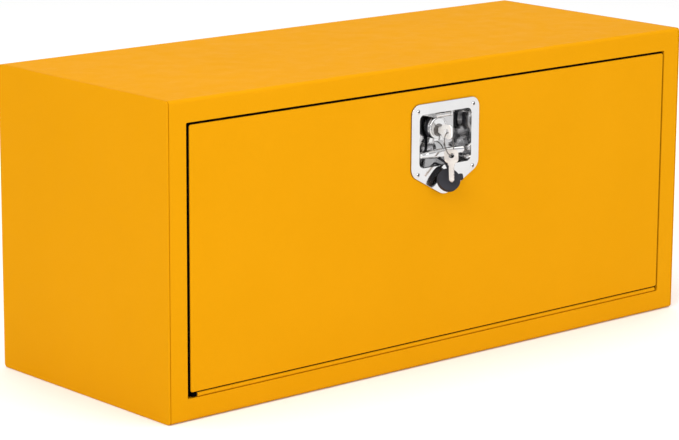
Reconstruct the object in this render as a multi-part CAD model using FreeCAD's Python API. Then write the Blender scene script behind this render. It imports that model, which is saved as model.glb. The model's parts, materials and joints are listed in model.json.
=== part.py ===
import FreeCAD, Part
import math
import os

# Underbody toolbox: a welded sheet-steel box with a drop-down front door, a piano
# hinge along the sill, slotted door stays, and a folding T-handle lock in a dished pan.
# Millimetres. Origin: centre of the floor footprint. +X along the length,
# -Y out of the front, +Z up. Each function returns the solid of one node.

V = FreeCAD.Vector
AXIS_X = V(1, 0, 0)
AXIS_Y = V(0, 1, 0)
AXIS_Z = V(0, 0, 1)

# ---- box ----
LENGTH = 914.0
DEPTH = 356.0
HEIGHT = 406.0
SHEET = 1.5
BEND = 5.0                      # outside radius where the wrap is folded
FRONT = -DEPTH / 2
BACK = DEPTH / 2
END_X = LENGTH / 2
SEAM = 1.1                      # open seam between the wrap and each end panel
END_FLANGE = 15.0

# ---- door opening ----
JAMB_LEFT = 28.6
JAMB_RIGHT = 31.0
HEADER = 29.3
SILL_TOP = 28.8
OPEN_X0 = -END_X + JAMB_LEFT
OPEN_X1 = END_X - JAMB_RIGHT
OPEN_TOP = HEIGHT - HEADER
LIP = 20.0                      # seal lip, inwards from the edge of the opening
LIP_FRONT = FRONT + 28.0
LIP_BACK = LIP_FRONT + SHEET
SEAL_HEIGHT = 5.7
SEAL_WIDTH = 9.0

# ---- piano hinge ----
KNUCKLE_R = 2.9
PIN_R = 1.4
HINGE_Y = FRONT + KNUCKLE_R
HINGE_Z = SILL_TOP + 0.3 + KNUCKLE_R
HINGE_X0 = -412.4
HINGE_X1 = 421.0
KNUCKLES = 30
LEAF = 1.2
LEAF_BACK = FRONT + 21.0
KNUCKLE_GAP = 0.3
RIVET_PITCH = 90.0

# ---- door ----
GAP_LEFT = 5.5
GAP_RIGHT = 2.2
GAP_TOP = 3.4
DOOR_X0 = OPEN_X0 + GAP_LEFT
DOOR_X1 = OPEN_X1 - GAP_RIGHT
DOOR_TOP = OPEN_TOP - GAP_TOP
DOOR_BOTTOM = HINGE_Z + KNUCKLE_R + 1.4
DOOR_DEPTH = 22.0
DOOR_BACK = FRONT + DOOR_DEPTH
DOOR_CORNER = 3.0
DOOR_EDGE = 1.4
DOOR_OPEN_DEG = 85.0
EDGE_STRIP = 1.5                # foam strip round the door's flanges
EDGE_STRIP_SET = 1.8            # how far the strip sits behind the door's face

# ---- latch pan ----
LATCH_X = 2.8
PAN_WIDTH = 121.0
PAN_TOP = 354.5
PAN_SHOULDER = 260.8            # where the straight sides turn into the lower point
PAN_POINT = 230.2
PAN_SHEET = 0.8
GASKET = 1.2
PAN_BACK = FRONT - GASKET
PAN_FRONT = PAN_BACK - PAN_SHEET
WELL_WIDTH = 93.5
WELL_TOP = 340.5
WELL_BOTTOM = 269.0
WELL_DEPTH = 28.0
WELL_FLOOR = PAN_FRONT + WELL_DEPTH
SIDE_DRAFT = 7.0
TOP_DRAFT = 3.0
RIVET_HALF_X = 49.4
RIVET_Z = (261.3, 345.0)
RIVET_R = 2.0
RIVET_HEAD_R = 3.4
RIVET_HOLE_R = 1.6              # blind hole left by the mandrel

# ---- folding T-handle and its lock ----
LOCK_Z = 316.5
HEAD_R = 15.5
HEAD_FRONT = PAN_FRONT + 14.0
HEAD_BACK = PAN_FRONT + 18.5
HEAD_GROOVE = 0.8               # depth of the groove round the face of the head
NECK_R = 12.0
FOLD_Y = PAN_FRONT + 6.0
FOLD_Z = 335.5
BARREL_R = 3.0
BARREL_HALF = 11.2
FOLD_PIN_R = 1.5
BAR_LENGTH = 82.0
BAR_Z = 283.5
BAR_HEIGHT = 12.0
BAR_FRONT = PAN_FRONT + 4.5
BAR_DEPTH = 9.0
BAR_EDGE = 3.4                  # rounding round both faces of the crossbar
STEM_WIDTH = 14.0
STEM_THICK = 4.2
PLUG_Z = 313.5                  # the key turns a little below the middle of the head
SLEEVE_R = 8.5
PLUG_R = 6.2
PLUG_BACK = WELL_FLOOR - 1.2
RUNNING = 0.05                  # radial clearance of a turning fit

# ---- keys ----
KEY_THICK = 2.0
BOW_WIDTH = 18.5
BOW_LENGTH = 19.5
BLADE_WIDTH = 7.0
BLADE_LENGTH = 27.5
LOCK_BLADE_LENGTH = 17.0        # the lock is only as deep as the head and neck
BOW_HOLE_R = 3.9
HOLE_FROM_SHOULDER = 10.5
KEY_SHOULDER_Y = PAN_FRONT + 8.0
RING_R = 14.6
WIRE_R = 0.8
WIRE_REST = 1.6                 # wire below the middle of the upper hole, above that of the lower
RING_TURN_DEG = 25.0            # the ring hangs turned about the vertical
RING_LEAN_DEG = 12.0            # and leans out of the pan
SECOND_KEY_TURN_DEG = -41.0     # the second key lies across the ring
SECOND_KEY_LEAN_DEG = 37.0      # and rests out over the dust cap

# ---- dust cap ----
CAP_R = 15.5
CAP_DEPTH = 7.0
CAP_WALL = 2.2
CAP_TURN_DEG = -25.0            # the cap hangs turned towards the left
CAP_LEAN_DEG = 28.0             # and faces a little upwards
CAP_FACE = V(-4.8, PAN_FRONT - 15.9, 252.8)
STRAP_X = LATCH_X - 1.2
STRAP_WIDTH = 3.5
STRAP_THICK = 1.6
COLLAR_DEPTH = 5.4

# ---- cam behind the door ----
SPINDLE_R = 5.0
CAM_FRONT = LIP_BACK + 7.5
CAM_THICK = 3.0
CAM_REACH = 54.5
CAM_WIDTH = 20.0

# ---- door stays ----
STAY_X = 398.0                  # middle plane of the strap
STAY_THICK = 3.0
STAY_WIDTH = 18.0
STAY_RADIUS = 180.0             # hinge axis to strap pivot, and hinge axis to stud
STAY_ANGLE = 12.0               # angle between the two at the closed door
PIVOT_Y = DOOR_BACK + 12.0
PIVOT_R = 3.0
STUD_R = 4.0
SLOT_PLAY = 0.1
BRACKET_X = STAY_X + 4.5
BRACKET_THICK = 2.5


def box(x0, x1, y0, y1, z0, z1):
    return Part.makeBox(x1 - x0, y1 - y0, z1 - z0, V(x0, y0, z0))


def rod_x(x0, x1, y, z, radius):
    return Part.makeCylinder(radius, x1 - x0, V(x0, y, z), AXIS_X)


def rod_y(y0, y1, x, z, radius):
    return Part.makeCylinder(radius, y1 - y0, V(x, y0, z), AXIS_Y)


def rod_z(z0, z1, x, y, radius):
    return Part.makeCylinder(radius, z1 - z0, V(x, y, z0), AXIS_Z)


def join(shapes):
    first, rest = shapes[0], shapes[1:]
    return first.fuse(rest).removeSplitter() if rest else first


def rounded_wire(corners):
    """Closed wire through (point, radius) corners, each corner an arc of its radius."""
    count = len(corners)
    starts, ends = [], []
    for i, (point, radius) in enumerate(corners):
        before = (corners[i - 1][0] - point).normalize()
        after = (corners[(i + 1) % count][0] - point).normalize()
        half = before.getAngle(after) / 2
        back = radius / math.tan(half)
        starts.append(point + before * back)
        ends.append(point + after * back)
    edges = []
    for i, (point, radius) in enumerate(corners):
        if radius > 0:
            middle = starts[i] + ends[i] - point * 2
            middle.normalize()
            half = (starts[i] - point).getAngle(ends[i] - point) / 2
            top = point + middle * (radius / math.sin(half) - radius)
            edges.append(Part.Arc(starts[i], top, ends[i]).toShape())
        follow = starts[(i + 1) % count]
        if (follow - ends[i]).Length > 1e-6:
            edges.append(Part.LineSegment(ends[i], follow).toShape())
    return Part.Wire(edges)


def rectangle_xz(x0, x1, z0, z1, y, radius):
    corners = [V(x0, y, z0), V(x1, y, z0), V(x1, y, z1), V(x0, y, z1)]
    return rounded_wire([(corner, radius) for corner in corners])


def plate_xz(x0, x1, z0, z1, y0, y1, radius):
    wire = rectangle_xz(x0, x1, z0, z1, y0, radius)
    return Part.Face(wire).extrude(V(0, y1 - y0, 0))


def bar_yz(y0, y1, z0, z1, x0, x1, radius):
    """A bar along X with a rounded rectangular section."""
    corners = [V(x0, y0, z0), V(x0, y1, z0), V(x0, y1, z1), V(x0, y0, z1)]
    section = rounded_wire([(corner, radius) for corner in corners])
    return Part.Face(section).extrude(V(x1 - x0, 0, 0))


def strip_yz(points, thick, x0, x1):
    """A bent flat strip: its middle line is a list of (y, z), its edges run along X."""
    left, right = [], []
    last = len(points) - 1
    for i, (y, z) in enumerate(points):
        here = V(0, y, z)
        ahead = V(0, *points[min(i + 1, last)]) - V(0, *points[min(i, last - 1)])
        behind = V(0, *points[max(i, 1)]) - V(0, *points[max(i - 1, 0)])
        normal_ahead = V(0, -ahead.z, ahead.y).normalize()
        normal_behind = V(0, -behind.z, behind.y).normalize()
        mitre = (normal_ahead + normal_behind).normalize()
        reach = thick / 2 / mitre.dot(normal_ahead)
        left.append(here + mitre * reach + AXIS_X * x0)
        right.append(here - mitre * reach + AXIS_X * x0)
    outline = left + right[::-1]
    return Part.Face(Part.makePolygon(outline + [outline[0]])).extrude(AXIS_X * (x1 - x0))


def dome_y(x, z, y_face, radius, height, outward):
    """A shallow rivet head on a face normal to Y; outward is -1 to the front, +1 to the back."""
    ball = (radius ** 2 + height ** 2) / (2 * height)
    sphere = Part.makeSphere(ball, V(x, y_face + outward * (height - ball), z))
    low, high = sorted((y_face, y_face + outward * height))
    return sphere.common(rod_y(low, high, x, z, radius))


def mirrored(shape):
    return shape.mirror(V(0, 0, 0), AXIS_X)


# ---------------------------------------------------------------- box

def body_wrap():
    x = END_X - SHEET - SEAM
    outer = bar_yz(FRONT, BACK, 0, HEIGHT, -x, x, BEND)
    inner = bar_yz(FRONT + SHEET, BACK - SHEET, SHEET, HEIGHT - SHEET, -x, x, BEND - SHEET)
    opening = plate_xz(OPEN_X0, OPEN_X1, SILL_TOP, OPEN_TOP, FRONT - 1, FRONT + BEND, 2.0)
    return outer.cut(inner).cut(opening)


def end_panel():
    """The right-hand end: a plate with a flange turned in all round, inside the wrap."""
    edge = 0.7
    plate = bar_yz(FRONT, BACK, 0, HEIGHT, END_X - SHEET, END_X, BEND)
    rim = [e for e in plate.Edges if abs(e.BoundBox.XMin - END_X) < 1e-6 and e.BoundBox.XLength < 1e-6]
    plate = plate.makeFillet(edge, rim)
    x0 = END_X - SHEET - END_FLANGE
    x1 = END_X - SHEET
    inset = SHEET
    outer = bar_yz(FRONT + inset, BACK - inset, inset, HEIGHT - inset, x0, x1, BEND - inset)
    inset = 2 * SHEET
    inner = bar_yz(FRONT + inset, BACK - inset, inset, HEIGHT - inset, x0, x1, BEND - inset)
    return join([plate, outer.cut(inner)])


def opening_plate(inset, y0, y1, radius):
    """A plate with the outline of the door opening, drawn in by inset all round."""
    return plate_xz(OPEN_X0 + inset, OPEN_X1 - inset, SILL_TOP + inset, OPEN_TOP - inset, y0, y1, radius)


def door_frame():
    """Return and seal lip, welded behind the edge of the door opening."""
    y0 = FRONT + SHEET
    outer = opening_plate(-SHEET, y0, LIP_BACK, 3.5)
    well = opening_plate(0, y0, LIP_FRONT, 2.0)
    window = opening_plate(LIP, y0, LIP_BACK, 12.0)
    holes = [rod_z(SILL_TOP - 3, SILL_TOP + 1, x, HINGE_RIVET_Y, HINGE_RIVET_R) for x in FRAME_RIVETS]
    return outer.cut([well, window] + holes)


def door_seal():
    """Bulb seal: a flat foot on the lip and a hollow bulb that meets the closed door."""
    middle = LIP - SEAL_WIDTH / 2 - 1.5

    def ring(y0, y1, half_width, radius):
        outer = opening_plate(middle - half_width, y0, y1, radius + half_width)
        inner = opening_plate(middle + half_width, y0, y1, radius - half_width)
        return outer.cut(inner)

    foot = ring(LIP_FRONT - 1.2, LIP_FRONT, SEAL_WIDTH / 2, 12.0)
    bulb = ring(LIP_FRONT - SEAL_HEIGHT, LIP_FRONT - 1.2, 3.0, 12.0)
    front_edges = [e for e in bulb.Edges if abs(e.BoundBox.YMax - (LIP_FRONT - SEAL_HEIGHT)) < 1e-6]
    bulb = bulb.makeFillet(2.0, front_edges)
    hollow = ring(LIP_FRONT - SEAL_HEIGHT + 1.3, LIP_FRONT - 1.3, 1.5, 12.0)
    return join([foot, bulb]).cut(hollow)


def cam_strike():
    """Hat-section keeper behind the top lip; the cam turns up behind its flat."""
    width, wall = 60.0, 1.5
    x0, x1 = LATCH_X - width / 2, LATCH_X + width / 2
    z0, z1 = OPEN_TOP - LIP + 1, OPEN_TOP - 2
    y1 = CAM_FRONT - 0.4
    flat = box(x0, x1, y1 - wall, y1, z0, z1)
    roof = box(x0, x1, LIP_BACK, y1, z1 - wall, z1)
    tab = box(x0, x1, LIP_BACK, LIP_BACK + wall, z1 - wall, z1 + 10)
    return join([flat, roof, tab])


# ---------------------------------------------------------------- hinge

def knuckle_spans(first):
    pitch = (HINGE_X1 - HINGE_X0) / KNUCKLES
    half_gap = KNUCKLE_GAP / 2
    for i in range(first, KNUCKLES, 2):
        yield HINGE_X0 + i * pitch + half_gap, HINGE_X0 + (i + 1) * pitch - half_gap


def rivet_columns(offset):
    count = int((HINGE_X1 - HINGE_X0 - 2 * offset) // RIVET_PITCH) + 1
    return [HINGE_X0 + offset + i * RIVET_PITCH for i in range(count)]


FRAME_RIVETS = rivet_columns(30.0)
DOOR_RIVETS = rivet_columns(60.0)
HINGE_RIVET_Y = FRONT + 13.5
HINGE_RIVET_R = 1.6


def hinge_leaf(first, z0, rivets):
    """One leaf lying flat, with tabs that rise or drop behind the pin to its knuckles."""
    z1 = z0 + LEAF
    clear = HINGE_Y + KNUCKLE_R + KNUCKLE_GAP
    pieces = [box(HINGE_X0, HINGE_X1, clear, LEAF_BACK, z0, z1)]
    for x0, x1 in knuckle_spans(first):
        pieces.append(rod_x(x0, x1, HINGE_Y, HINGE_Z, KNUCKLE_R))
        pieces.append(box(x0, x1, HINGE_Y + PIN_R + 0.3, clear + LEAF, min(z0, HINGE_Z), max(z1, HINGE_Z)))
    leaf = join(pieces)
    holes = [rod_x(HINGE_X0 - 1, HINGE_X1 + 1, HINGE_Y, HINGE_Z, PIN_R + RUNNING)]
    holes += [rod_z(z0 - 1, z1 + 1, x, HINGE_RIVET_Y, HINGE_RIVET_R) for x in rivets]
    return leaf.cut(holes)


def hinge_frame_leaf():
    return hinge_leaf(0, SILL_TOP, FRAME_RIVETS)


def hinge_door_leaf():
    return hinge_leaf(1, DOOR_BOTTOM - LEAF, DOOR_RIVETS)


def hinge_pin():
    return rod_x(HINGE_X0, HINGE_X1, HINGE_Y, HINGE_Z, PIN_R)


def hinge_rivets(columns, head_z, tail_z):
    """Rivets along Z: a low head at head_z, the set tail at tail_z."""
    head_height, head_r = 0.8, 3.0
    tail_height, tail_r = 1.0, 2.4
    up = 1 if head_z > tail_z else -1
    lengths = [
        (head_z, tail_z, HINGE_RIVET_R),
        (head_z, head_z + up * head_height, head_r),
        (tail_z, tail_z - up * tail_height, tail_r),
    ]
    solids = []
    for x in columns:
        pieces = [rod_z(min(a, b), max(a, b), x, HINGE_RIVET_Y, radius) for a, b, radius in lengths]
        solids.append(join(pieces))
    return Part.makeCompound(solids)


def hinge_frame_rivets():
    return hinge_rivets(FRAME_RIVETS, SILL_TOP + LEAF, SILL_TOP - SHEET)


def hinge_door_rivets():
    return hinge_rivets(DOOR_RIVETS, DOOR_BOTTOM - LEAF, DOOR_BOTTOM + SHEET)


# ---------------------------------------------------------------- door

def well_cutout(y0, y1):
    play = 2.2
    half = WELL_WIDTH / 2 + play
    return plate_xz(LATCH_X - half, LATCH_X + half, WELL_BOTTOM - play, WELL_TOP + play, y0, y1, 10.0)


def pan_rivet_places():
    return [(LATCH_X + side * RIVET_HALF_X, z) for side in (-1, 1) for z in RIVET_Z]


def door_skin():
    outer = plate_xz(DOOR_X0, DOOR_X1, DOOR_BOTTOM, DOOR_TOP, FRONT, DOOR_BACK, DOOR_CORNER)
    face = [e for e in outer.Edges if abs(e.BoundBox.YMax - FRONT) < 1e-6]
    outer = outer.makeFillet(DOOR_EDGE, face)
    inside = plate_xz(DOOR_X0 + SHEET, DOOR_X1 - SHEET, DOOR_BOTTOM + SHEET, DOOR_TOP - SHEET,
                      FRONT + SHEET, DOOR_BACK, DOOR_CORNER - SHEET)
    holes = [well_cutout(FRONT - 1, FRONT + SHEET + 1)]
    holes += [rod_y(FRONT - 1, FRONT + 3, x, z, RIVET_R) for x, z in pan_rivet_places()]
    holes += [rod_z(DOOR_BOTTOM - 1, DOOR_BOTTOM + 3, x, HINGE_RIVET_Y, HINGE_RIVET_R) for x in DOOR_RIVETS]
    return outer.cut([inside] + holes)


def door_liner():
    plate = plate_xz(DOOR_X0 + SHEET, DOOR_X1 - SHEET, DOOR_BOTTOM + SHEET, DOOR_TOP - SHEET,
                     DOOR_BACK - SHEET, DOOR_BACK, DOOR_CORNER - SHEET)
    return plate.cut(well_cutout(DOOR_BACK - 3, DOOR_BACK + 1))


def door_edge_strip():
    """Foam strip round the left, top and right flanges, and below the door in front of the hinge."""
    y0, y1 = FRONT + EDGE_STRIP_SET, DOOR_BACK - 2.0

    def door_plate(grow):
        return plate_xz(DOOR_X0 - grow, DOOR_X1 + grow, DOOR_BOTTOM - grow, DOOR_TOP + grow,
                        y0, y1, DOOR_CORNER + grow)

    hinge_x0, hinge_x1 = HINGE_X0 - 1, HINGE_X1 + 1
    over_hinge = box(hinge_x0, hinge_x1, y0, y1, DOOR_BOTTOM - 3, DOOR_BOTTOM)
    ring = door_plate(EDGE_STRIP).cut([door_plate(0), over_hinge])
    knuckle_top = HINGE_Z + KNUCKLE_R + 0.25
    sill_strip = box(hinge_x0, hinge_x1, y0 - 0.4, HINGE_Y - 0.2, knuckle_top, DOOR_BOTTOM)
    block_z0, block_z1 = SILL_TOP + 1.2, DOOR_BOTTOM - EDGE_STRIP
    corner_block = box(DOOR_X0 + DOOR_CORNER, hinge_x0, y0, y1 - 4, block_z0, block_z1)
    return join([ring, sill_strip, corner_block])


def door_stiffeners():
    """Hat channels between the skin and the liner, one each side of the latch."""
    y0, y1 = FRONT + SHEET, DOOR_BACK - SHEET
    width, foot, wall = 30.0, 12.0, 1.2
    z0, z1 = DOOR_BOTTOM + 25, DOOR_TOP - 20
    solids = []
    for x in (-210.0, 210.0):
        crown = box(x - width / 2, x + width / 2, y0, y0 + wall, z0, z1)
        pieces = [crown]
        for side in (-1, 1):
            web_x = x + side * (width - wall) / 2
            pieces.append(box(web_x - wall / 2, web_x + wall / 2, y0, y1, z0, z1))
            foot_x = x + side * (width + foot) / 2
            pieces.append(box(foot_x - foot / 2, foot_x + foot / 2, y1 - wall, y1, z0, z1))
        solids.append(join(pieces))
    return Part.makeCompound(solids)


# ---------------------------------------------------------------- latch pan

def pan_outline(y0, y1, inset):
    half = PAN_WIDTH / 2 - inset
    corner, shoulder, point = 14.0, 16.0, 20.0
    rounding = 2.6              # how far rounding lifts the lower point
    corners = [
        (V(LATCH_X - half, y0, PAN_TOP - inset), corner),
        (V(LATCH_X - half, y0, PAN_SHOULDER), shoulder),
        (V(LATCH_X, y0, PAN_POINT - rounding + inset), point),
        (V(LATCH_X + half, y0, PAN_SHOULDER), shoulder),
        (V(LATCH_X + half, y0, PAN_TOP - inset), corner),
    ]
    return Part.Face(rounded_wire(corners)).extrude(V(0, y1 - y0, 0))


def well(y0, y1, wall):
    """The drafted well from plane y0 to plane y1, grown outwards by wall."""
    sections = []
    for y in (y0, y1):
        deep = (y - PAN_FRONT) / WELL_DEPTH
        half = WELL_WIDTH / 2 - SIDE_DRAFT * deep + wall
        low = WELL_BOTTOM + SIDE_DRAFT * deep - wall
        high = WELL_TOP - TOP_DRAFT * deep + wall
        sections.append(rectangle_xz(LATCH_X - half, LATCH_X + half, low, high, y, 8.0 + wall))
    return Part.makeLoft(sections, True, True)


def latch_pan():
    flange = pan_outline(PAN_FRONT, PAN_BACK, 0)
    rim = [e for e in flange.Edges if abs(e.BoundBox.YMax - PAN_FRONT) < 1e-6]
    flange = flange.makeFillet(0.4, rim)
    bowl = well(PAN_FRONT + 0.01, WELL_FLOOR + PAN_SHEET, PAN_SHEET)
    hollow = well(PAN_FRONT, WELL_FLOOR, 0)
    pan = flange.fuse(bowl).cut(hollow)
    holes = [rod_y(PAN_FRONT - 1, PAN_BACK + 1, x, z, RIVET_R) for x, z in pan_rivet_places()]
    holes.append(rod_y(WELL_FLOOR - 1, WELL_FLOOR + 3, LATCH_X, LOCK_Z, SPINDLE_R + 2))
    return pan.cut(holes).removeSplitter()


def pan_gasket():
    gasket = pan_outline(PAN_BACK, FRONT, 0).cut(well_cutout(PAN_BACK - 1, FRONT + 1))
    return gasket.cut([rod_y(PAN_BACK - 1, FRONT + 1, x, z, RIVET_R) for x, z in pan_rivet_places()])


def pan_rivets():
    solids = []
    for x, z in pan_rivet_places():
        head = dome_y(x, z, PAN_FRONT, RIVET_HEAD_R, 1.3, -1)
        shank = rod_y(PAN_FRONT, FRONT + SHEET, x, z, RIVET_R)
        tail = dome_y(x, z, FRONT + SHEET, 3.2, 2.0, 1)
        mandrel_hole = rod_y(PAN_FRONT - 2, PAN_FRONT + 1.5, x, z, RIVET_HOLE_R)
        solids.append(join([head, shank, tail]).cut(mandrel_hole))
    return Part.makeCompound(solids)


def handle_bracket():
    """Two ears on a foot plate, fixed to the floor of the well, that carry the fold pin."""
    foot_z = FOLD_Z - 3.2
    ear, gap = 2.0, 0.3
    pieces = []
    for side in (-1, 1):
        inner = LATCH_X + side * (BARREL_HALF + gap)
        outer = inner + side * ear
        x0, x1 = sorted((inner, outer))
        pieces.append(box(x0, x1, FOLD_Y, WELL_FLOOR, foot_z, FOLD_Z + 1.8))
        pieces.append(rod_x(x0, x1, FOLD_Y, FOLD_Z, BARREL_R + 0.2))
        f0, f1 = sorted((inner, outer + side * 7))
        pieces.append(box(f0, f1, WELL_FLOOR - 1.5, WELL_FLOOR, foot_z, FOLD_Z + 1.8))
    bridge = box(LATCH_X - BARREL_HALF - gap, LATCH_X + BARREL_HALF + gap, WELL_FLOOR - 1.5, WELL_FLOOR,
                 foot_z, FOLD_Z + 1.8)
    shape = join(pieces + [bridge])
    return shape.cut(rod_x(LATCH_X - 20, LATCH_X + 20, FOLD_Y, FOLD_Z, FOLD_PIN_R))


def fold_pin():
    half = BARREL_HALF + 2.9
    pin = rod_x(LATCH_X - half, LATCH_X + half, FOLD_Y, FOLD_Z, FOLD_PIN_R)
    heads = []
    for side in (-1, 1):
        x0, x1 = sorted((LATCH_X + side * (half - 0.6), LATCH_X + side * (half + 0.6)))
        heads.append(rod_x(x0, x1, FOLD_Y, FOLD_Z, 2.4))
    return join([pin] + heads)


def spindle_bush():
    """Threaded bush clamped in the floor of the well, with a flange and a hexagon nut behind."""
    y0 = WELL_FLOOR
    y1 = CAM_FRONT - 0.4
    barrel = rod_y(y0 + 0.1, y1, LATCH_X, LOCK_Z, SPINDLE_R + 2)
    nut_r = 11.0
    points = []
    for i in range(7):
        turn = math.radians(60 * i)
        points.append(V(LATCH_X + nut_r * math.cos(turn), y0 + PAN_SHEET, LOCK_Z + nut_r * math.sin(turn)))
    nut = Part.Face(Part.makePolygon(points)).extrude(V(0, 5.0, 0))
    return join([barrel, nut]).cut(rod_y(y0 - 1, y1 + 1, LATCH_X, LOCK_Z, SPINDLE_R + RUNNING))


# ---------------------------------------------------------------- T-handle and lock

def bar_profile(y):
    """Crossbar seen from the front: flat on top, bowed along the bottom, round at its ends."""
    half = BAR_LENGTH / 2
    top, low = BAR_Z + BAR_HEIGHT / 2, BAR_Z - BAR_HEIGHT / 2
    tip = 4.0
    left_top = V(LATCH_X - half + tip, y, top - 1.5)
    left_low = V(LATCH_X - half + tip, y, top - 1.5 - 2 * tip)
    right_top = V(LATCH_X + half - tip, y, top - 1.5)
    right_low = V(LATCH_X + half - tip, y, top - 1.5 - 2 * tip)
    edges = [
        Part.Arc(left_top, V(LATCH_X, y, top), right_top).toShape(),
        Part.Arc(right_top, V(LATCH_X + half, y, top - 1.5 - tip), right_low).toShape(),
        Part.Arc(right_low, V(LATCH_X, y, low), left_low).toShape(),
        Part.Arc(left_low, V(LATCH_X - half, y, top - 1.5 - tip), left_top).toShape(),
    ]
    return Part.Wire(edges)


def t_handle():
    """One casting: lock head and neck, a stem that slopes out of the pan, and the crossbar."""
    bar = Part.Face(bar_profile(BAR_FRONT)).extrude(V(0, BAR_DEPTH, 0))
    ends = [e for e in bar.Edges if e.BoundBox.YLength < 1e-6]
    bar = bar.makeFillet(BAR_EDGE, ends)
    top_y = HEAD_BACK - STEM_THICK / 2
    slope = [
        (top_y, LOCK_Z - HEAD_R + 3.5),
        (top_y, LOCK_Z - HEAD_R - 2),
        (BAR_FRONT + BAR_DEPTH - 3.5, BAR_Z + 1.0),
    ]
    stem = strip_yz(slope, STEM_THICK, LATCH_X - STEM_WIDTH / 2, LATCH_X + STEM_WIDTH / 2)
    head = rod_y(HEAD_FRONT, HEAD_BACK, LATCH_X, LOCK_Z, HEAD_R)
    front = [e for e in head.Edges if e.BoundBox.YLength < 1e-6 and abs(e.BoundBox.YMax - HEAD_FRONT) < 1e-6]
    head = head.makeFillet(1.4, front)
    groove_end = HEAD_FRONT + HEAD_GROOVE
    groove = rod_y(HEAD_FRONT - 1, groove_end, LATCH_X, LOCK_Z, HEAD_R - 2.2)
    groove = groove.cut(rod_y(HEAD_FRONT - 1, groove_end, LATCH_X, LOCK_Z, HEAD_R - 3.2))
    head = head.cut(groove)
    neck = rod_y(HEAD_BACK - 1, WELL_FLOOR - 0.4, LATCH_X, LOCK_Z, NECK_R)
    barrel = rod_x(LATCH_X - BARREL_HALF, LATCH_X + BARREL_HALF, FOLD_Y, FOLD_Z, BARREL_R)
    arm_half, arm_thick = 6.0, 3.4
    bend = [
        (FOLD_Y, FOLD_Z - 0.9),
        (HEAD_FRONT - 1, FOLD_Z - 2.6),
        (HEAD_FRONT + 2.5, LOCK_Z + HEAD_R - 3),
    ]
    arm = strip_yz(bend, arm_thick, LATCH_X - arm_half, LATCH_X + arm_half)
    casting = join([bar, stem, head, neck, barrel, arm])
    cylinder_hole = rod_y(HEAD_FRONT - 1, PLUG_BACK, LATCH_X, PLUG_Z, SLEEVE_R)
    pin_hole = rod_x(LATCH_X - 20, LATCH_X + 20, FOLD_Y, FOLD_Z, FOLD_PIN_R + RUNNING)
    return casting.cut([cylinder_hole, pin_hole])


def lock_sleeve():
    front = HEAD_FRONT - 0.8
    sleeve = rod_y(front, PLUG_BACK, LATCH_X, PLUG_Z, SLEEVE_R)
    lip = [e for e in sleeve.Edges if abs(e.BoundBox.YMax - front) < 1e-6]
    sleeve = sleeve.makeFillet(0.6, lip)
    return sleeve.cut(rod_y(front - 1, PLUG_BACK + 1, LATCH_X, PLUG_Z, PLUG_R + RUNNING))


def key_blank(length):
    """A key in the XZ plane, shoulder at the origin, its blade of this length towards -Z, bow towards +Z."""
    half = KEY_THICK / 2
    bow = plate_xz(-BOW_WIDTH / 2, BOW_WIDTH / 2, 0, BOW_LENGTH, -half, half, 5.5)
    faces = [e for e in bow.Edges if e.BoundBox.YLength < 1e-6]
    bow = bow.makeFillet(0.5, faces)
    eye = rod_y(-2, 2, 0, HOLE_FROM_SHOULDER, BOW_HOLE_R)
    neck_half = 4.8
    neck = box(-neck_half, neck_half, -half, half, -3.0, 1.0)
    width = BLADE_WIDTH / 2
    tip = 3.0
    outline = [V(-width, -half, 0), V(-width, -half, -length + tip), V(-1.0, -half, -length)]
    cuts = [(3.0, 1.2), (7.0, 2.2), (11.0, 0.9), (15.0, 1.8), (19.0, 1.1)]
    outline.append(V(1.0, -half, -length))
    outline.append(V(width, -half, -length + tip))
    for along, deep in cuts:
        z = -length + tip + along
        if z > -6:
            break
        outline.append(V(width, -half, z - 1.4))
        outline.append(V(width - deep, -half, z))
        outline.append(V(width, -half, z + 1.4))
    outline.append(V(width, -half, 0))
    blade = Part.Face(Part.makePolygon(outline + [outline[0]])).extrude(V(0, KEY_THICK, 0))
    grooves = [box(-1.6, -0.4, side * half - 0.4, side * half + 0.4, -length - 1, -4.5) for side in (-1, 1)]
    return join([bow, neck, blade]).cut([eye] + grooves)


def key_in_lock():
    key = key_blank(LOCK_BLADE_LENGTH)
    key.rotate(V(0, 0, 0), AXIS_Z, 90)
    key.rotate(V(0, 0, 0), AXIS_X, 90)
    key.translate(V(LATCH_X, KEY_SHOULDER_Y, PLUG_Z))
    return key


def lock_plug():
    """The turning plug, with a blind keyway just larger than the blade."""
    plug = rod_y(HEAD_FRONT - 0.6, PLUG_BACK, LATCH_X, PLUG_Z, PLUG_R)
    half_width, half_thick = BLADE_WIDTH / 2 + 0.1, KEY_THICK / 2 + 0.05
    bottom = KEY_SHOULDER_Y + LOCK_BLADE_LENGTH + 0.3
    keyway = box(LATCH_X - half_thick, LATCH_X + half_thick, HEAD_FRONT - 2, bottom,
                 PLUG_Z - half_width, PLUG_Z + half_width)
    return plug.cut(keyway)


RING_AT = V(LATCH_X, KEY_SHOULDER_Y - HOLE_FROM_SHOULDER, PLUG_Z - WIRE_REST)


def hung(shape, lean, turn, at):
    """Swing a shape hanging at the origin out towards the front, turn it about the vertical, and place it."""
    shape.rotate(V(0, 0, 0), AXIS_X, -lean)
    shape.rotate(V(0, 0, 0), AXIS_Z, turn)
    shape.translate(at)
    return shape


def key_ring():
    ring = Part.makeTorus(RING_R, WIRE_R, V(0, 0, -RING_R), AXIS_Y)
    return hung(ring, RING_LEAN_DEG, RING_TURN_DEG, RING_AT)


def second_key():
    drop = Part.Vertex(0, 0, -2 * RING_R - WIRE_REST)
    eye_at = hung(drop, RING_LEAN_DEG, RING_TURN_DEG, RING_AT).Point
    key = key_blank(BLADE_LENGTH)
    key.translate(V(0, 0, -HOLE_FROM_SHOULDER))
    return hung(key, SECOND_KEY_LEAN_DEG, SECOND_KEY_TURN_DEG, eye_at)


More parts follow.
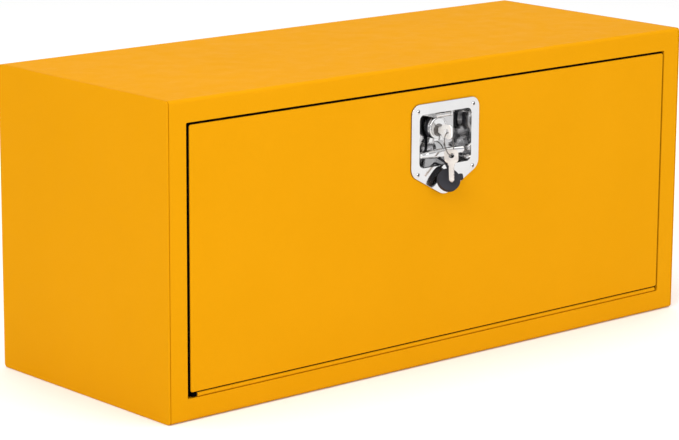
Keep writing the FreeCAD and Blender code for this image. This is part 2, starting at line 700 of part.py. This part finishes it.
def dust_cap():
    """One rubber moulding: a ring round the neck, a strap behind the crossbar, and the turned cap."""
    y0, y1 = HEAD_BACK + 0.1, HEAD_BACK + 0.1 + COLLAR_DEPTH
    collar = rod_y(y0, y1, LATCH_X, LOCK_Z, HEAD_R - 0.1)
    collar = collar.cut(rod_y(y0 - 1, y1 + 1, LATCH_X, LOCK_Z, NECK_R + 0.02))
    path = [
        (y0 + 1.2, LOCK_Z - NECK_R - 1.0),
        (y0 + 1.2, BAR_Z + 3.0),
        (y0 - 2.0, BAR_Z - 5.0),
        (PAN_FRONT + 10.0, WELL_BOTTOM + 6.8),
        (PAN_FRONT - 1.5, WELL_BOTTOM + 3.6),
        (CAP_FACE.y + 9.9, CAP_FACE.z + 13.9),
        (CAP_FACE.y + 4.9, CAP_FACE.z + 8.4),
    ]
    strap = strip_yz(path, STRAP_THICK, STRAP_X - STRAP_WIDTH / 2, STRAP_X + STRAP_WIDTH / 2)
    cup = rod_y(0, CAP_DEPTH, 0, 0, CAP_R)
    rim = [e for e in cup.Edges if e.BoundBox.YLength < 1e-6]
    cup = cup.makeFillet(0.9, rim)
    tab = plate_xz(CAP_R - 2.0, CAP_R + 4.5, -1.0, 7.5, 1.0, 4.5, 2.0)
    hollow = rod_y(CAP_WALL, CAP_DEPTH + 1, 0, 0, CAP_R - CAP_WALL)
    cap = hung(cup.fuse(tab), CAP_LEAN_DEG, CAP_TURN_DEG, CAP_FACE)
    hollow = hung(hollow, CAP_LEAN_DEG, CAP_TURN_DEG, CAP_FACE)
    return join([collar, strap, cap]).cut(hollow)


# ---------------------------------------------------------------- cam

def spindle():
    end = CAM_FRONT + CAM_THICK + 6
    return rod_y(WELL_FLOOR + 0.4, end, LATCH_X, LOCK_Z, SPINDLE_R)


def cam_plate():
    """Round about the spindle, with an arm that points along -X while the door is unlatched."""
    y0, y1 = CAM_FRONT, CAM_FRONT + CAM_THICK
    hub = rod_y(y0, y1, LATCH_X, LOCK_Z, CAM_WIDTH / 2 + 1)
    half = CAM_WIDTH / 2
    arm = plate_xz(LATCH_X - CAM_REACH, LATCH_X + 2, LOCK_Z - half, LOCK_Z + half, y0, y1, 1.9)
    return join([hub, arm]).cut(rod_y(y0 - 1, y1 + 1, LATCH_X, LOCK_Z, SPINDLE_R))


def cam_nut():
    y0 = CAM_FRONT + CAM_THICK
    washer = rod_y(y0, y0 + 1.2, LATCH_X, LOCK_Z, 9.5)
    points = []
    for i in range(7):
        turn = math.radians(60 * i + 30)
        points.append(V(LATCH_X + 8.6 * math.cos(turn), y0 + 1.2, LOCK_Z + 8.6 * math.sin(turn)))
    nut = Part.Face(Part.makePolygon(points)).extrude(V(0, 4.2, 0))
    return join([washer, nut]).cut(rod_y(y0 - 1, y0 + 8, LATCH_X, LOCK_Z, SPINDLE_R))


# ---------------------------------------------------------------- door stays, right-hand side

PIVOT_RISE = math.sqrt(STAY_RADIUS ** 2 - (PIVOT_Y - HINGE_Y) ** 2)
PIVOT_Z = HINGE_Z + PIVOT_RISE
PIVOT_LEAN = math.atan2(PIVOT_Y - HINGE_Y, PIVOT_RISE)
STUD_LEAN = PIVOT_LEAN + math.radians(STAY_ANGLE)
STUD_Y = HINGE_Y + STAY_RADIUS * math.sin(STUD_LEAN)
STUD_Z = HINGE_Z + STAY_RADIUS * math.cos(STUD_LEAN)
REACH_CLOSED = 2 * STAY_RADIUS * math.sin(math.radians(STAY_ANGLE / 2))
REACH_OPEN = 2 * STAY_RADIUS * math.sin(math.radians((STAY_ANGLE + DOOR_OPEN_DEG) / 2))


def stay_strap():
    """Built along +Y from its pivot, then tilted to point at the stud."""
    x0, x1 = STAY_X - STAY_THICK / 2, STAY_X + STAY_THICK / 2

    def round_ended(x_low, x_high, start, stop, half):
        ends = [rod_x(x_low, x_high, y, 0, half) for y in (start, stop)]
        return join([box(x_low, x_high, start, stop, -half, half)] + ends)

    strap = round_ended(x0, x1, 0, REACH_OPEN + 16.0, STAY_WIDTH / 2)
    slot = round_ended(x0 - 1, x1 + 1, REACH_CLOSED - 0.3, REACH_OPEN + 0.3, STUD_R + SLOT_PLAY)
    strap = strap.cut([slot, rod_x(x0 - 1, x1 + 1, 0, 0, PIVOT_R + RUNNING)])
    dip = math.degrees(math.atan2(STUD_Z - PIVOT_Z, STUD_Y - PIVOT_Y))
    strap.rotate(V(0, 0, 0), AXIS_X, dip)
    strap.translate(V(0, PIVOT_Y, PIVOT_Z))
    return strap


def stay_lug():
    """Angle on the liner with an ear on the inner side of the strap."""
    ear_x1 = STAY_X - STAY_THICK / 2 - 0.3
    ear_x0 = ear_x1 - 2.5
    foot = box(ear_x0 - 16, ear_x1, DOOR_BACK, DOOR_BACK + 2.5, PIVOT_Z - 14, PIVOT_Z + 14)
    ear = box(ear_x0, ear_x1, DOOR_BACK, PIVOT_Y, PIVOT_Z - 9, PIVOT_Z + 9)
    tip = rod_x(ear_x0, ear_x1, PIVOT_Y, PIVOT_Z, 9)
    return join([foot, ear, tip]).cut(rod_x(ear_x0 - 1, ear_x1 + 1, PIVOT_Y, PIVOT_Z, PIVOT_R))


def stay_pivot():
    strap_out = STAY_X + STAY_THICK / 2
    ear_in = STAY_X - STAY_THICK / 2 - 2.8
    shank = rod_x(ear_in, strap_out + 0.3, PIVOT_Y, PIVOT_Z, PIVOT_R)
    head = rod_x(strap_out + 0.3, strap_out + 1.8, PIVOT_Y, PIVOT_Z, 5.5)
    tail = rod_x(ear_in - 1.5, ear_in, PIVOT_Y, PIVOT_Z, 4.8)
    return join([shank, head, tail])


def stay_bracket():
    """Plate behind the seal lip that carries the stud, with a foot turned out onto the lip."""
    x0, x1 = BRACKET_X, BRACKET_X + BRACKET_THICK
    plate = box(x0, x1, LIP_BACK, STUD_Y, STUD_Z - 13, STUD_Z + 13)
    nose = rod_x(x0, x1, STUD_Y, STUD_Z, 13)
    foot = box(x0, x1 + 18, LIP_BACK, LIP_BACK + 2.5, STUD_Z - 13, STUD_Z + 13)
    return join([plate, nose, foot]).cut(rod_x(x0 - 1, x1 + 1, STUD_Y, STUD_Z, 3.0))


def stay_stud():
    head_x1 = STAY_X - STAY_THICK / 2 - 0.3
    collar_x0 = STAY_X + STAY_THICK / 2 + 0.3
    head = rod_x(head_x1 - 2.6, head_x1, STUD_Y, STUD_Z, 7.0)
    shoulder = rod_x(head_x1, collar_x0, STUD_Y, STUD_Z, STUD_R)
    collar = rod_x(collar_x0, BRACKET_X, STUD_Y, STUD_Z, 7.0)
    shank = rod_x(BRACKET_X, BRACKET_X + BRACKET_THICK, STUD_Y, STUD_Z, 3.0)
    tail = rod_x(BRACKET_X + BRACKET_THICK, BRACKET_X + BRACKET_THICK + 1.8, STUD_Y, STUD_Z, 5.0)
    return join([head, shoulder, collar, shank, tail])


SINGLE_NODES = [
    body_wrap, door_frame, door_seal, cam_strike, hinge_frame_leaf, hinge_pin, hinge_frame_rivets,
    door_skin, door_liner, door_edge_strip, door_stiffeners, hinge_door_leaf, hinge_door_rivets,
    latch_pan, pan_gasket, pan_rivets, handle_bracket, fold_pin, spindle_bush,
    t_handle, lock_sleeve, dust_cap, lock_plug, key_in_lock, key_ring, second_key,
    spindle, cam_plate, cam_nut,
]
HANDED_NODES = [end_panel, stay_strap, stay_lug, stay_pivot, stay_bracket, stay_stud]


def save(name, shape):
    if not shape.isValid():
        raise ValueError(name + " is not a valid shape")
    print("%-22s %9.1f mm3, %d solid(s)" % (name, shape.Volume, len(shape.Solids)))
    shape.exportStep("parts/" + name + ".step")


os.makedirs("parts", exist_ok=True)
for make in SINGLE_NODES:
    save(make.__name__, make())
for make in HANDED_NODES:
    right = make()
    save(make.__name__ + "_right", right)
    save(make.__name__ + "_left", mirrored(right))
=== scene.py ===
import json
import math

import bmesh
import bpy
from mathutils import Euler, Matrix, Vector


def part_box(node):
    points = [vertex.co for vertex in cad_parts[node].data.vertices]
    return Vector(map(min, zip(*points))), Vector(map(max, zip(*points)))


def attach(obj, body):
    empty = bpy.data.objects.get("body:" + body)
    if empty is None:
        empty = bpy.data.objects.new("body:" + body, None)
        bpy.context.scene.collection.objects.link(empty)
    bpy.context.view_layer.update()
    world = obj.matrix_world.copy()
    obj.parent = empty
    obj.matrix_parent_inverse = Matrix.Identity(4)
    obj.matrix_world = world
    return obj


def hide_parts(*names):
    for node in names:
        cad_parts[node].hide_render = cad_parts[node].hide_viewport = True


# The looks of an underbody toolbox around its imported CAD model: the studio, the materials, and the small
# pieces that are only seen. The studio is in metres. Pieces are in millimetres, placed from the frame.

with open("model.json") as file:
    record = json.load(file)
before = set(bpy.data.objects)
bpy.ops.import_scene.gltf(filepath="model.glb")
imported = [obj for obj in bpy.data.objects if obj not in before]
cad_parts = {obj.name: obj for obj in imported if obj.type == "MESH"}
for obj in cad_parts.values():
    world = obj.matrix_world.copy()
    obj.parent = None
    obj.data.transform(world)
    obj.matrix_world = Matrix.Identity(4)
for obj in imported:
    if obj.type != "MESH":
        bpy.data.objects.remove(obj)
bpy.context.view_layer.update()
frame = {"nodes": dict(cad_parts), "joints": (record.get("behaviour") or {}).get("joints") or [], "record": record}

MM = 0.001
NODES = frame["nodes"]
JOINTS = {joint["name"]: joint for joint in frame["joints"]}
SLOTS = {part["node"]: part["material_slot"] for part in frame["record"]["subparts"]}


def box_mm(node):
    """Lowest and highest corner of a CAD node, to a tenth of a millimetre."""
    return [Vector([round(value / MM, 1) for value in corner]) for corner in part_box(node)]


# ---------------------------------------------------------------- camera, light and floor

CAMERA_FORWARD_DEG = 41.3       # turned from +Y towards +X
CAMERA_DOWN_DEG = 12.72
CAMERA_ROLL_DEG = 0.31
CAMERA_LENS_MM = 148.3
CAMERA_SENSOR_MM = 36.0
CAMERA_AT = (-2.483, -2.799, 1.008)
CAMERA_SEES_M = 50.0

SKY_AT_HORIZON = (0.55, 0.55, 0.56, 1)
SKY_ABOVE = (1.0, 1.0, 1.0, 1)
SKY_STRENGTH = 0.9

FLOOR_REACH = 12.0
FLOOR_Z = -0.0005               # just clear of the underside of the box
FLOOR_WHITE = (0.93, 0.93, 0.93, 1)

LIGHTS_AIM_AT = (0.0, 0.0, 0.2)
WARM_WHITE = (1.0, 0.95, 0.88)
WHITE = (1.0, 1.0, 1.0)


def make_camera():
    """A three-quarter view from the front left, through a long lens."""
    data = bpy.data.cameras.new("camera")
    data.sensor_fit = "HORIZONTAL"
    data.sensor_width = CAMERA_SENSOR_MM
    data.lens = CAMERA_LENS_MM
    data.clip_end = CAMERA_SEES_M
    camera = bpy.data.objects.new("camera", data)
    bpy.context.scene.collection.objects.link(camera)
    camera.location = CAMERA_AT
    pitch = math.radians(90 - CAMERA_DOWN_DEG)
    heading = math.radians(-CAMERA_FORWARD_DEG)
    turn = Euler((pitch, 0, heading), "XYZ").to_matrix()
    roll = Euler((0, 0, math.radians(CAMERA_ROLL_DEG)), "XYZ").to_matrix()
    camera.rotation_euler = (turn @ roll).to_euler()
    bpy.context.scene.camera = camera


def area_light(name, at, size, power, tint=WHITE):
    """A rectangular lamp aimed at the middle of the toolbox, with its power in watts."""
    data = bpy.data.lights.new(name, "AREA")
    data.shape = "RECTANGLE"
    data.size, data.size_y = size
    data.energy = power
    data.color = tint
    lamp = bpy.data.objects.new(name, data)
    bpy.context.scene.collection.objects.link(lamp)
    lamp.location = at
    lamp.rotation_euler = (Vector(LIGHTS_AIM_AT) - Vector(at)).to_track_quat("-Z", "Y").to_euler()


def make_world():
    """An even white studio, darker towards the horizon so that polished metal has something to show."""
    world = bpy.data.worlds.new("studio")
    bpy.context.scene.world = world
    world.use_nodes = True
    tree = world.node_tree
    tree.nodes.clear()
    output = tree.nodes.new("ShaderNodeOutputWorld")
    back = tree.nodes.new("ShaderNodeBackground")
    ramp = tree.nodes.new("ShaderNodeValToRGB")
    split = tree.nodes.new("ShaderNodeSeparateXYZ")
    place = tree.nodes.new("ShaderNodeTexCoord")
    height = tree.nodes.new("ShaderNodeMath")
    height.operation = "MULTIPLY_ADD"
    scale, offset = height.inputs[1:3]      # a direction's height, brought from -1 to 1 into 0 to 1
    scale.default_value = 0.5
    offset.default_value = 0.5
    tree.links.new(place.outputs["Generated"], split.inputs["Vector"])
    tree.links.new(split.outputs["Z"], height.inputs[0])
    tree.links.new(height.outputs["Value"], ramp.inputs["Fac"])
    tree.links.new(ramp.outputs["Color"], back.inputs["Color"])
    tree.links.new(back.outputs["Background"], output.inputs["Surface"])
    horizon, thirty_degrees_up = 0.50, 0.75
    stops = ramp.color_ramp.elements
    stops[0].position = horizon
    stops[0].color = SKY_AT_HORIZON
    stops[1].position = thirty_degrees_up
    stops[1].color = SKY_ABOVE
    back.inputs["Strength"].default_value = SKY_STRENGTH


def make_floor():
    """A wide white floor."""
    mesh = bpy.data.meshes.new("floor")
    reach = FLOOR_REACH
    outline = [(-reach, -reach), (reach, -reach), (reach, reach), (-reach, reach)]
    mesh.from_pydata([(x, y, FLOOR_Z) for x, y in outline], [], [(0, 1, 2, 3)])
    floor = bpy.data.objects.new("floor", mesh)
    bpy.context.scene.collection.objects.link(floor)
    material = bpy.data.materials.new("floor_white")
    material.use_nodes = True
    shader = material.node_tree.nodes["Principled BSDF"]
    shader.inputs["Base Color"].default_value = FLOOR_WHITE
    shader.inputs["Roughness"].default_value = 0.9
    shader.inputs["Specular IOR Level"].default_value = 0.1
    mesh.materials.append(material)


def make_studio():
    bpy.context.scene.view_settings.view_transform = "Standard"
    make_camera()
    make_world()
    make_floor()
    area_light("key_left", at=(-3.2, -1.6, 2.6), size=(2.4, 2.4), power=85, tint=WARM_WHITE)
    area_light("front_fill", at=(0.8, -4.2, 1.6), size=(3.0, 2.0), power=52)
    area_light("top", at=(0.2, 0.3, 3.8), size=(3.0, 3.0), power=50)


# ---------------------------------------------------------------- materials

class Paint:
    """A material being built: node helpers around one Principled shader. Noise scales are per metre."""

    def __init__(self, name, **sockets):
        self.material = bpy.data.materials.new(name)
        self.material.use_nodes = True
        self.tree = self.material.node_tree
        self.shader = self.tree.nodes["Principled BSDF"]
        for socket, value in sockets.items():
            self.shader.inputs[socket.replace("_", " ")].default_value = value
        self.place = self.tree.nodes.new("ShaderNodeTexCoord").outputs["Object"]

    def node(self, kind, **settings):
        made = self.tree.nodes.new("ShaderNode" + kind)
        for name, value in settings.items():
            setattr(made, name, value)
        return made

    def link(self, source, target):
        self.tree.links.new(source, target)

    def stretched(self, scale):
        mapping = self.node("Mapping")
        mapping.inputs["Scale"].default_value = scale
        self.link(self.place, mapping.inputs["Vector"])
        return mapping.outputs["Vector"]

    def noise(self, scale, detail=3.0, roughness=0.5, stretch=None):
        made = self.node("TexNoise")
        made.inputs["Scale"].default_value = scale
        made.inputs["Detail"].default_value = detail
        made.inputs["Roughness"].default_value = roughness
        self.link(self.stretched(stretch) if stretch else self.place, made.inputs["Vector"])
        return made.outputs["Fac"]

    def ranged(self, source, low=0.0, high=1.0, start=0.3, stop=0.7):
        """The source's values from start to stop, spread over low to high."""
        made = self.node("MapRange")
        for socket, value in zip(("From Min", "From Max", "To Min", "To Max"), (start, stop, low, high)):
            made.inputs[socket].default_value = value
        self.link(source, made.inputs["Value"])
        return made.outputs["Result"]

    def mixed(self, factor, first, second):
        """A colour from first to second by the factor. Each is a colour or another node's output."""
        made = self.node("Mix", data_type="RGBA")
        factor_in, first_in, second_in, colour_out = 0, 6, 7, 2     # sockets that share names with others
        for index, value in ((first_in, first), (second_in, second)):
            if isinstance(value, tuple):
                made.inputs[index].default_value = (*value, 1.0)
            else:
                self.link(value, made.inputs[index])
        self.link(factor, made.inputs[factor_in])
        return made.outputs[colour_out]

    def bump(self, height, strength, distance, below=None):
        made = self.node("Bump")
        made.inputs["Strength"].default_value = strength
        made.inputs["Distance"].default_value = distance
        self.link(height, made.inputs["Height"])
        if below is not None:
            self.link(below, made.inputs["Normal"])
        return made.outputs["Normal"]

    def set(self, socket, source):
        self.link(source, self.shader.inputs[socket])


def yellow_paint():
    """Powder coat: an orange-peel surface, slight thinning of the colour, dust in the pores."""
    paint = Paint("yellow_paint", Specular_IOR_Level=0.01)
    cloud = paint.ranged(paint.noise(scale=6.0, detail=4.0, roughness=0.55))
    colour = paint.mixed(cloud, (0.622, 0.270, 0.0018), (0.640, 0.279, 0.0024))
    speck = paint.ranged(paint.noise(scale=900.0, detail=2.0), high=0.10, start=0.55, stop=0.8)
    paint.set("Base Color", paint.mixed(speck, colour, (0.42, 0.16, 0.003)))
    sheen = paint.noise(scale=35.0, detail=4.0, roughness=0.6)
    paint.set("Roughness", paint.ranged(sheen, low=0.42, high=0.56))
    peel = paint.noise(scale=420.0, detail=2.0, roughness=0.4)
    grain = paint.noise(scale=1700.0, detail=1.0)
    peeled = paint.bump(peel, strength=0.16, distance=0.0006)
    paint.set("Normal", paint.bump(grain, strength=0.08, distance=0.0002, below=peeled))
    return paint.material


def polished_steel():
    """Mirror finish with smears, a faint waviness and level hairlines."""
    paint = Paint("polished_steel", Metallic=1.0)
    smear = paint.noise(scale=45.0, detail=5.0, roughness=0.65)
    paint.set("Roughness", paint.ranged(smear, low=0.05, high=0.16))
    tone = paint.ranged(paint.noise(scale=18.0))
    paint.set("Base Color", paint.mixed(tone, (0.60, 0.597, 0.600), (0.67, 0.667, 0.672)))
    wave = paint.bump(paint.noise(scale=55.0, detail=2.0), strength=0.10, distance=0.0006)
    hairline = paint.noise(scale=260.0, detail=2.0, stretch=(1.0, 1.0, 14.0))
    paint.set("Normal", paint.bump(hairline, strength=0.05, distance=0.0001, below=wave))
    return paint.material


def lock_metal():
    """The dark, smooth finish of the lock and the split ring."""
    paint = Paint("lock_metal", Metallic=1.0)
    tone = paint.ranged(paint.noise(scale=120.0))
    paint.set("Base Color", paint.mixed(tone, (0.11, 0.10, 0.095), (0.20, 0.19, 0.18)))
    paint.set("Roughness", paint.ranged(paint.noise(scale=300.0), low=0.12, high=0.26))
    paint.set("Normal", paint.bump(paint.noise(scale=900.0, detail=2.0), strength=0.06, distance=0.0001))
    return paint.material


def key_plating(name, metallic, specular, darker, lighter, roughness):
    """A brushed finish that wanders between two tones and between two roughnesses."""
    paint = Paint(name, Metallic=metallic, Specular_IOR_Level=specular)
    tone = paint.ranged(paint.noise(scale=160.0, detail=4.0))
    paint.set("Base Color", paint.mixed(tone, darker, lighter))
    paint.set("Roughness", paint.ranged(paint.noise(scale=420.0), *roughness))
    brushed = paint.noise(scale=500.0, detail=2.0, stretch=(1.0, 1.0, 10.0))
    paint.set("Normal", paint.bump(brushed, strength=0.12, distance=0.0002))
    return paint.material


def key_metal():
    """The warm grey of the spare key."""
    return key_plating(
        "key_metal", metallic=0.6, specular=0.6, roughness=(0.28, 0.44),
        darker=(0.54, 0.495, 0.465), lighter=(0.66, 0.62, 0.585),
    )


def key_metal_lit_copy():
    """A lighter copy of the key metal for the key in the lock: nearly white and barely metallic, painted light for
    the brightness of that key.
    """
    # near-white tones, barely metallic: painted light on the key in the lock
    return key_plating(
        "key_metal_lit_copy", metallic=0.1, specular=0.7, roughness=(0.26, 0.40),
        darker=(0.86, 0.85, 0.84), lighter=(0.93, 0.92, 0.91),
    )


def black_rubber():
    """Matt rubber with a faint bloom."""
    paint = Paint("black_rubber", Specular_IOR_Level=0.18)
    bloom = paint.ranged(paint.noise(scale=60.0, detail=4.0, roughness=0.6))
    paint.set("Base Color", paint.mixed(bloom, (0.018, 0.018, 0.022), (0.028, 0.028, 0.036)))
    paint.set("Roughness", paint.ranged(paint.noise(scale=220.0), low=0.48, high=0.68))
    paint.set("Normal", paint.bump(paint.noise(scale=1400.0, detail=2.0), strength=0.15, distance=0.0002))
    return paint.material


def black_foam():
    """Open-cell foam that gives back almost no light: near-black, it is painted shade for the shadow deep in the
    gaps round the door.
    """
    paint = Paint("black_foam", Roughness=0.95, Specular_IOR_Level=0.0)
    cells = paint.noise(scale=2200.0, detail=2.0)
    # near-black base colour: painted shade for the door gaps
    paint.set("Base Color", paint.mixed(cells, (0.001, 0.001, 0.001), (0.003, 0.003, 0.003)))
    paint.set("Normal", paint.bump(cells, strength=0.3, distance=0.0003))
    return paint.material


def zinc_plate():
    """Clear zinc: grey with faint blue and straw clouds and a fine spangle."""
    paint = Paint("zinc_plate", Metallic=1.0)
    cloud = paint.ranged(paint.noise(scale=40.0))
    paint.set("Base Color", paint.mixed(cloud, (0.58, 0.61, 0.66), (0.68, 0.66, 0.60)))
    spangle = paint.noise(scale=180.0, detail=4.0, roughness=0.6)
    paint.set("Roughness", paint.ranged(spangle, low=0.24, high=0.42))
    paint.set("Normal", paint.bump(paint.noise(scale=700.0, detail=2.0), strength=0.10, distance=0.0002))
    return paint.material


def rivet_hole_shade_steel():
    """The broken end of a rivet's mandrel, made near-black as painted shade for the dark of each rivet's hole."""
    # base colour 0.03: painted shade for the rivet holes
    paint = Paint("rivet_hole_shade_steel", Metallic=1.0, Roughness=0.6, Base_Color=(0.03, 0.03, 0.035, 1))
    paint.set("Normal", paint.bump(paint.noise(scale=1500.0), strength=0.4, distance=0.0003))
    return paint.material


MATERIALS = {
    "yellow_paint": yellow_paint(),
    "polished_steel": polished_steel(),
    "lock_metal": lock_metal(),
    "key_metal": key_metal(),
    "black_rubber": black_rubber(),
    # the near-black foam is painted shade in the gaps round the door
    "black_foam": black_foam(),
    "zinc_plate": zinc_plate(),
}
RIVET_HOLE_SHADE_STEEL = rivet_hole_shade_steel()
# a lit copy of the key metal, painted light for the key in the lock
KEY_METAL_LIT_COPY = key_metal_lit_copy()


def finish_cad_nodes():
    """Every CAD node takes the material of its slot in the record, but the key in the lock takes a lighter copy of
    the key metal, painted light.
    """
    for name, piece in NODES.items():
        for slot in piece.material_slots:
            slot.material = KEY_METAL_LIT_COPY if name == "key_in_lock" else MATERIALS[SLOTS[name]]


# ---------------------------------------------------------------- pieces made here

def add_piece(name, parts, body, slot, sharp_deg=40, material=None):
    """One mesh object from a list of (vertices in mm, faces)."""
    vertices, faces = [], []
    for part_vertices, part_faces in parts:
        start = len(vertices)
        vertices += [Vector(v) * MM for v in part_vertices]
        faces += [tuple(start + i for i in face) for face in part_faces]
    mesh = bpy.data.meshes.new(name)
    mesh.from_pydata(vertices, [], faces)
    mesh.materials.append(material or MATERIALS[slot])
    shell = bmesh.new()
    shell.from_mesh(mesh)
    bmesh.ops.recalc_face_normals(shell, faces=shell.faces)
    shell.to_mesh(mesh)
    shell.free()
    mesh.shade_smooth()
    mesh.set_sharp_from_angle(angle=math.radians(sharp_deg))
    piece = bpy.data.objects.new(name, mesh)
    bpy.context.scene.collection.objects.link(piece)
    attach(piece, body)
    return piece


def around(sides):
    """Equal steps of angle round a full turn."""
    return [2 * math.pi * j / sides for j in range(sides)]


def swept(path, sections):
    """A closed section carried along a path. Each section lists its offsets from its point of the path."""
    count = len(sections[0])
    vertices = [Vector(at) + offset for at, section in zip(path, sections) for offset in section]
    faces = [tuple(range(count))[::-1]]
    for i in range(len(path) - 1):
        here = i * count
        there = here + count
        for j in range(count):
            k = (j + 1) % count
            faces.append((here + j, here + k, there + k, there + j))
    faces.append(tuple(range(len(vertices) - count, len(vertices))))
    return vertices, faces


def split_key_ring():
    """Two close coils of flattened wire, hanging where the CAD ring hangs."""
    radius, lean_deg = 14.6, 12.0
    coils, first_end, coil_gap = 2.0, 0.6, 0.84
    wire_half_tall, wire_half_wide = 0.74, 0.39
    steps, sides = 160, 12
    swing = JOINTS["ring_swing"]
    hangs_at = Vector(swing["pos_m"]) / MM
    heading = math.atan2(-swing["axis"][1], -swing["axis"][0])
    place = (Matrix.Translation(hangs_at) @ Matrix.Rotation(heading, 4, "Z")
             @ Matrix.Rotation(math.radians(-lean_deg), 4, "X"))
    path, sections = [], []
    for i in range(steps + 1):
        along = i / steps
        turn = 2 * math.pi * coils * along + first_end
        outward = Vector((math.cos(turn), 0, math.sin(turn)))
        aside = Vector((0, (along - 0.5) * coil_gap, 0))
        path.append(place @ (Vector((0, 0, -radius)) + outward * radius + aside))
        section = [outward * wire_half_tall * math.cos(a) + Vector((0, wire_half_wide * math.sin(a), 0))
                   for a in around(sides)]
        sections.append([place.to_3x3() @ offset for offset in section])
    ring = add_piece("split_key_ring", [swept(path, sections)], "spare_key", "lock_metal", sharp_deg=60)
    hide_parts("key_ring")


def mandrel_stubs():
    """The broken mandrel in each blind rivet of the latch pan, standing in the rivet's hole; its near-black finish
    is painted shade for the hole.
    """
    head_radius = 3.4           # of a rivet's head
    radius, sides = 1.55, 16
    proud, sunk = 0.9, 1.45     # in front of the pan's face and behind it
    pan_front = box_mm("latch_pan")[0].y
    low, high = box_mm("pan_rivets")
    disc = [Vector((radius * math.cos(a), 0, radius * math.sin(a))) for a in around(sides)]
    stubs = []
    for x in (low.x + head_radius, high.x - head_radius):
        for z in (low.z + head_radius, high.z - head_radius):
            stubs.append(swept([(x, pan_front - proud, z), (x, pan_front + sunk, z)], [disc, disc]))
    # near-black finish: painted shade in the rivet holes
    add_piece("mandrel_stubs", stubs, "door", "zinc_plate", material=RIVET_HOLE_SHADE_STEEL)


def weld_bead(start, end, across, up):
    """A rippled bead between two points, its round section spanned by the directions across and up."""
    radius, ripple_length, ripple_depth = 1.9, 2.6, 0.12
    tip_size, tip_length = 0.35, 3.0
    sides, step_length = 8, 1.2
    start, end = Vector(start), Vector(end)
    length = (end - start).length
    steps = int(length / step_length)
    circle = [Vector(across) * math.cos(a) + Vector(up) * math.sin(a) for a in around(sides)]
    path, sections = [], []
    for i in range(steps + 1):
        along = length * i / steps
        taper = min(1.0, tip_size + min(along, length - along) / tip_length)
        ripple = 1 - ripple_depth + ripple_depth * abs(math.sin(math.pi * along / ripple_length))
        size = radius * taper * ripple
        path.append(start.lerp(end, i / steps))
        sections.append([offset * size for offset in circle])
    return swept(path, sections)


def stitch_welds():
    """Short welds along the edges of the end panels' flanges, inside the box."""
    count, pitch, length = 4, 82.0, 28.0
    from_front, from_floor = 50.0, 52.0
    inset = 2.3                 # from the outside of the box to about the middle of a flange's thickness
    off_edge = 0.2              # from a flange's edge to the middle of its beads
    low, high = box_mm("body_wrap")
    bead_x = box_mm("end_panel_right")[0].x - off_edge
    back_y = high.y - inset
    for side, word in ((1, "right"), (-1, "left")):
        x = side * bead_x
        beads = []
        for i in range(count):
            y = low.y + from_front + pitch * i
            for z in (low.z + inset, high.z - inset):
                beads.append(weld_bead((x, y, z), (x, y + length, z), (1, 0, 0), (0, 0, 1)))
            z = low.z + from_floor + pitch * i
            beads.append(weld_bead((x, back_y, z), (x, back_y, z + length), (1, 0, 0), (0, 1, 0)))
        add_piece("stitch_welds_" + word, beads, "box", "yellow_paint")


LINER_Y = box_mm("door_liner")[1].y     # the face of the liner that looks into the box


def pressed_rib(x0, x1, z, half_width, height):
    """A rib with rounded ends standing on the liner."""
    steps, sides = 12, 10
    sunk = 0.4                  # the rib's flat base, behind the liner's face
    smallest = 0.04             # size of the tip, so that no faces fall together
    fullness = 0.8              # below 1, the crown is fuller than a half ellipse
    stations = [x0 + half_width * (1 - math.cos(math.pi / 2 * i / steps)) for i in range(steps + 1)]
    stations += [x0 + x1 - x for x in stations[::-1]]
    path, sections = [], []
    for x in stations:
        reach = min(1.0, min(x - x0, x1 - x) / half_width)
        size = max(smallest, math.sqrt(1 - (1 - reach) ** 2))
        path.append((x, LINER_Y, z))
        section = [Vector((0, -sunk, side * half_width * size)) for side in (-1, 1)]
        for j in range(sides + 1):
            a = math.pi * j / sides
            rise = height * size * math.sin(a) ** fullness
            section.append(Vector((0, rise, half_width * size * math.cos(a))))
        sections.append(section)
    return swept(path, sections)


def liner_ribs():
    """Three level ribs pressed into the liner."""
    half_length, half_width, height = 350.0, 9.0, 2.4
    lowest, pitch, count = 90.0, 60.0, 3
    levels = [lowest + pitch * i for i in range(count)]
    ribs = [pressed_rib(-half_length, half_length, z, half_width, height) for z in levels]
    add_piece("liner_ribs", ribs, "door", "yellow_paint")


def dimple(x, z, radius, height):
    """A shallow round pimple on the liner, left by a spot weld."""
    rings, sides = 4, 20
    rim_sunk = 0.05
    vertices = [Vector((x, LINER_Y + height, z))]
    faces = [(0, 1 + (j + 1) % sides, 1 + j) for j in range(sides)]
    for i in range(1, rings + 1):
        out = i / rings
        rise = height * math.cos(math.pi / 2 * out) - rim_sunk * out
        for a in around(sides):
            aside = radius * out * math.cos(a)
            up = radius * out * math.sin(a)
            vertices.append(Vector((x + aside, LINER_Y + rise, z + up)))
        if i > 1:
            inner = 1 + (i - 2) * sides
            outer = inner + sides
            for j in range(sides):
                k = (j + 1) % sides
                faces.append((inner + j, inner + k, outer + k, outer + j))
    faces.append(tuple(range(len(vertices) - sides, len(vertices))))
    return vertices, faces


def spot_welds():
    """An upright row of marks on the liner over each foot of the two stiffeners behind it."""
    radius, height = 3.2, 0.5
    stiffener_width, foot_inset = 54.0, 6.0
    levels = (75.0, 120.0, 180.0, 240.0, 290.0, 335.0)
    outermost = box_mm("door_stiffeners")[1].x
    outer_foot = outermost - foot_inset
    inner_foot = outermost - stiffener_width + foot_inset
    marks = [dimple(x, z, radius, height)
             for x in (-outer_foot, -inner_foot, inner_foot, outer_foot) for z in levels]
    add_piece("spot_welds", marks, "door", "yellow_paint")


make_studio()
finish_cad_nodes()
split_key_ring()
mandrel_stubs()
stitch_welds()
liner_ribs()
spot_welds()
